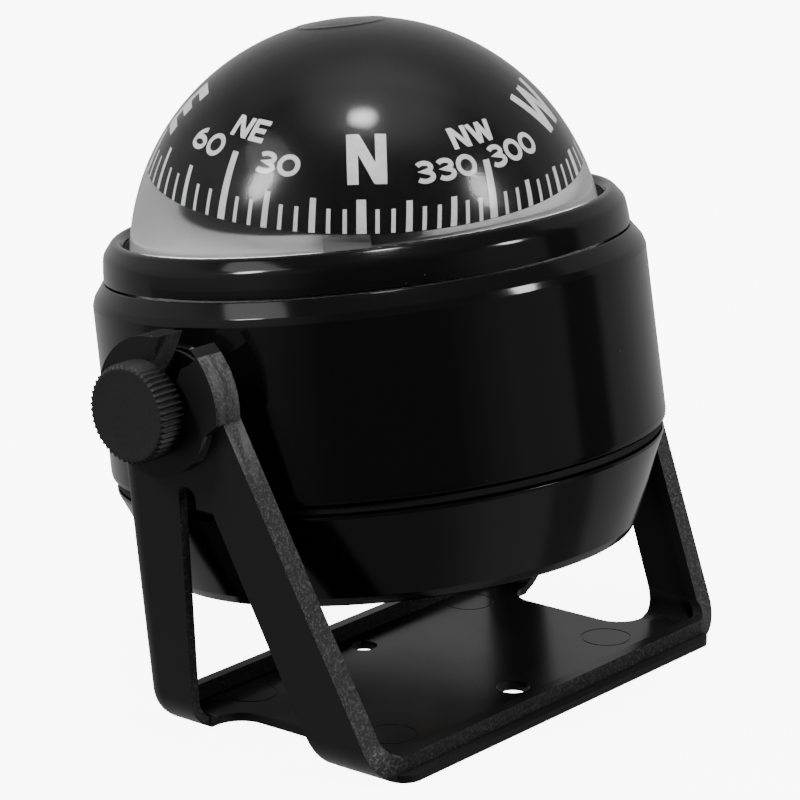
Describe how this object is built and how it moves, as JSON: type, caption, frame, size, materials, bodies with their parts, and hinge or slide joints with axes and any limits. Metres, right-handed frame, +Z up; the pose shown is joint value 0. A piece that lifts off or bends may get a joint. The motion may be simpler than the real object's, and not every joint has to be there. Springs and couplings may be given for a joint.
{
  "type": "bracket-mounted dome compass",
  "caption": "Dome compass in a round black housing that tilts between the arms of a U-shaped mounting bracket and is clamped by knurled thumb screws.",
  "frame": {"origin": "bottom centre of the bounding box, on the mounting surface under the bracket's base", "axes": "+Z up from the mounting surface, -Y to the front of the compass, +X along the tilt axis towards the right knob"},
  "size_m": [0.0958, 0.0756, 0.0868],
  "materials": {
    "bracket_plastic": "moulded black plastic, glossy inside faces, fine moulded grain on the front rim",
    "housing_plastic": "glossy black moulded plastic",
    "clear_acrylic": "clear polished acrylic",
    "white_plastic": "satin white plastic",
    "frosted_grey_plastic": "translucent grey plastic",
    "black_rubber": "black rubber",
    "knob_plastic": "satin black plastic",
    "brass": "turned brass",
    "steel": "turned steel",
    "card_black": "black plastic with light printed markings",
    "magnet_steel": "dark magnet alloy",
    "jewel": "polished bearing jewel"
  },
  "bodies": {
    "bracket": {"bracket": "bracket_plastic", "friction_washer_left": "black_rubber", "friction_washer_right": "black_rubber"},
    "housing": {"housing_shell": "housing_plastic", "bezel_ring": "housing_plastic", "dome": "clear_acrylic", "dome_gasket": "black_rubber", "inner_bowl": "white_plastic", "lubber_block": "frosted_grey_plastic", "expansion_diaphragm": "black_rubber", "diaphragm_retainer": "knob_plastic", "filler_plug": "brass", "pivot_post": "brass", "pivot_pin": "steel", "lower_cover": "housing_plastic", "cover_seal": "black_rubber", "pivot_insert_left": "brass", "pivot_insert_right": "brass"},
    "thumb_screw_left": {"knob_left": "knob_plastic", "stud_left": "steel"},
    "thumb_screw_right": {"knob_right": "knob_plastic", "stud_right": "steel"},
    "compensator_ns": {"compensator_screw_ns": "brass", "compensator_magnet_ns": "magnet_steel"},
    "compensator_ew": {"compensator_screw_ew": "brass", "compensator_magnet_ew": "magnet_steel"},
    "card_rocker": {"jewel_cup": "jewel"},
    "card": {"card_dome": "card_black", "card_hub": "white_plastic", "card_magnet_a": "magnet_steel", "card_magnet_b": "magnet_steel"}
  },
  "joints": [
    {"name": "housing_tilt", "type": "hinge", "parent": "bracket", "child": "housing", "pos_m": [0, 0.00054, 0.0452], "axis": [1, 0, 0], "range_deg": [-82.1, 97.9]},
    {"name": "thumb_screw_left_turn", "type": "hinge", "parent": "bracket", "child": "thumb_screw_left", "pos_m": [-0.0458, 0.00054, 0.0452], "axis": [-1, 0, 0], "continuous": true},
    {"name": "thumb_screw_right_turn", "type": "hinge", "parent": "bracket", "child": "thumb_screw_right", "pos_m": [0.0458, 0.00054, 0.0452], "axis": [1, 0, 0], "continuous": true},
    {"name": "compensator_ns_turn", "type": "hinge", "parent": "housing", "child": "compensator_ns", "pos_m": [-0.007, -0.00351, 0.01598], "axis": [0, 0.1374, 0.9905], "continuous": true},
    {"name": "compensator_ew_turn", "type": "hinge", "parent": "housing", "child": "compensator_ew", "pos_m": [0.007, -0.00351, 0.01598], "axis": [0, 0.1374, 0.9905], "continuous": true},
    {"name": "card_rock", "type": "hinge", "parent": "housing", "child": "card_rocker", "pos_m": [0, 0.002, 0.05573], "axis": [1, 0, 0], "range_deg": [-28, 8]},
    {"name": "card_spin", "type": "hinge", "parent": "card_rocker", "child": "card", "pos_m": [0, 0.002, 0.05573], "axis": [-0.0879, -0.0566, 0.9945], "continuous": true}
  ]
}
